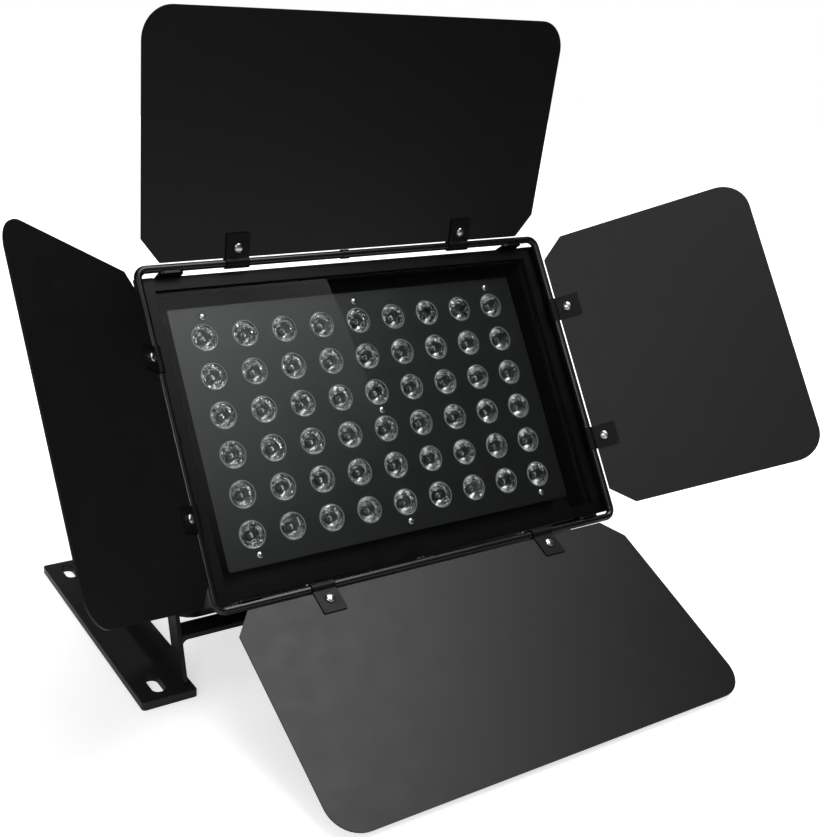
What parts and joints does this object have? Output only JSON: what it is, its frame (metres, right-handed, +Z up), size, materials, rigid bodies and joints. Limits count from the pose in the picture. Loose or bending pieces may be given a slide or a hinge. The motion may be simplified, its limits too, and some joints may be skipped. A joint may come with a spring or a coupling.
{
  "type": "led stage light",
  "caption": "Rectangular stage light with a grid of lenses behind glass, hinged barn doors on a rod frame, finned back, and a tilting slotted floor bracket.",
  "frame": {"origin": "middle of the bracket's four floor slots, on the floor under the feet", "axes": "+Z up, -Y the way the light faces, +X to the right as seen from the front"},
  "size_m": [0.6455, 0.4557, 0.4879],
  "materials": {
    "bracket_coat": "satin black powder coat on steel plate",
    "zinc_screws": "bright zinc-plated steel",
    "friction_pad": "dark fibre friction disc",
    "housing_coat": "satin black powder coat on aluminium",
    "bezel_coat": "satin black coat on aluminium angle",
    "window_glass": "clear tempered float glass",
    "gasket_rubber": "black closed-cell rubber",
    "clear_lens": "clear moulded acrylic",
    "mask_coat": "matte dark grey anodised sheet",
    "board_black": "circuit board with black solder mask",
    "board_green": "green circuit board",
    "emitter_yellow": "light-emitting chip under a phosphor cap",
    "bare_metal": "plain mill-finish aluminium",
    "rod_coat": "black-painted steel rod and strip",
    "door_coat": "matte black powder coat on steel sheet",
    "display_plastic": "dark clear acrylic",
    "button_plastic": "dark grey moulded plastic",
    "socket_power_plastic": "dark moulded plastic",
    "socket_signal_metal": "black moulded plastic"
  },
  "bodies": {
    "bracket": {"foot_left": "bracket_coat", "foot_right": "bracket_coat", "side_plate_left": "bracket_coat", "side_plate_right": "bracket_coat", "cross_bar_front": "bracket_coat", "cross_bar_rear": "bracket_coat", "pivot_bolts": "zinc_screws", "pivot_washers": "zinc_screws", "friction_washers": "friction_pad"},
    "door_top": {"door_top": "door_coat", "door_top_clips": "rod_coat", "door_top_screws": "zinc_screws", "door_top_nuts": "zinc_screws"},
    "door_bottom": {"door_bottom": "door_coat", "door_bottom_clips": "rod_coat", "door_bottom_screws": "zinc_screws", "door_bottom_nuts": "zinc_screws"},
    "door_left": {"door_left": "door_coat", "door_left_clips": "rod_coat", "door_left_screws": "zinc_screws", "door_left_nuts": "zinc_screws"},
    "door_right": {"door_right": "door_coat", "door_right_clips": "rod_coat", "door_right_screws": "zinc_screws", "door_right_nuts": "zinc_screws"},
    "button_1": {"menu_button_1": "button_plastic"},
    "button_2": {"menu_button_2": "button_plastic"},
    "button_3": {"menu_button_3": "button_plastic"},
    "button_4": {"menu_button_4": "button_plastic"},
    "head": {"bezel_bottom": "bezel_coat", "bezel_left": "bezel_coat", "bezel_right": "bezel_coat", "bezel_screws": "zinc_screws", "bezel_top": "bezel_coat", "control_board": "board_green", "control_panel": "housing_coat", "control_standoffs": "bare_metal", "cooling_fins": "housing_coat", "display_window": "display_plastic", "frame_tab_screws": "zinc_screws", "frame_tabs": "rod_coat", "gasket": "gasket_rubber", "glass": "window_glass", "heat_spreader": "housing_coat", "housing": "housing_coat", "led_board": "board_black", "led_emitters": "emitter_yellow", "lenses": "clear_lens", "mask_pillars": "bare_metal", "mask_plate": "mask_coat", "mask_screws": "zinc_screws", "pivot_bosses": "housing_coat", "power_sockets": "socket_power_plastic", "power_supply": "bare_metal", "rear_cover": "housing_coat", "rear_cover_screws": "zinc_screws", "rod_frame": "rod_coat", "safety_eye": "housing_coat", "signal_sockets": "socket_signal_metal"}
  },
  "joints": [
    {"name": "head_tilt", "type": "hinge", "parent": "bracket", "child": "head", "pos_m": [0, -0.0306, 0.1577], "axis": [-1, 0, 0], "range_deg": [-16, 58.6]},
    {"name": "door_top_hinge", "type": "hinge", "parent": "head", "child": "door_top", "pos_m": [0, -0.03003, 0.30854], "axis": [1, 0, 0], "range_deg": [-48.2, 51.8]},
    {"name": "door_bottom_hinge", "type": "hinge", "parent": "head", "child": "door_bottom", "pos_m": [0, -0.1645, 0.08824], "axis": [-1, 0, 0], "range_deg": [-41.2, 58.8]},
    {"name": "door_left_hinge", "type": "hinge", "parent": "head", "child": "door_left", "pos_m": [-0.1905, -0.09726, 0.19839], "axis": [0, 0.521, 0.8536], "range_deg": [-56.2, 43.8]},
    {"name": "door_right_hinge", "type": "hinge", "parent": "head", "child": "door_right", "pos_m": [0.1905, -0.09726, 0.19839], "axis": [0, -0.521, -0.8536], "range_deg": [-49.9, 50.1]},
    {"name": "button_1_press", "type": "slide", "parent": "head", "child": "button_1", "axis": [0, -0.8536, 0.521], "range_m": [0, 0.001], "stiffness_N_per_m": 900, "springref_m": -0.0006},
    {"name": "button_2_press", "type": "slide", "parent": "head", "child": "button_2", "axis": [0, -0.8536, 0.521], "range_m": [0, 0.001], "stiffness_N_per_m": 900, "springref_m": -0.0006},
    {"name": "button_3_press", "type": "slide", "parent": "head", "child": "button_3", "axis": [0, -0.8536, 0.521], "range_m": [0, 0.001], "stiffness_N_per_m": 900, "springref_m": -0.0006},
    {"name": "button_4_press", "type": "slide", "parent": "head", "child": "button_4", "axis": [0, -0.8536, 0.521], "range_m": [0, 0.001], "stiffness_N_per_m": 900, "springref_m": -0.0006}
  ]
}
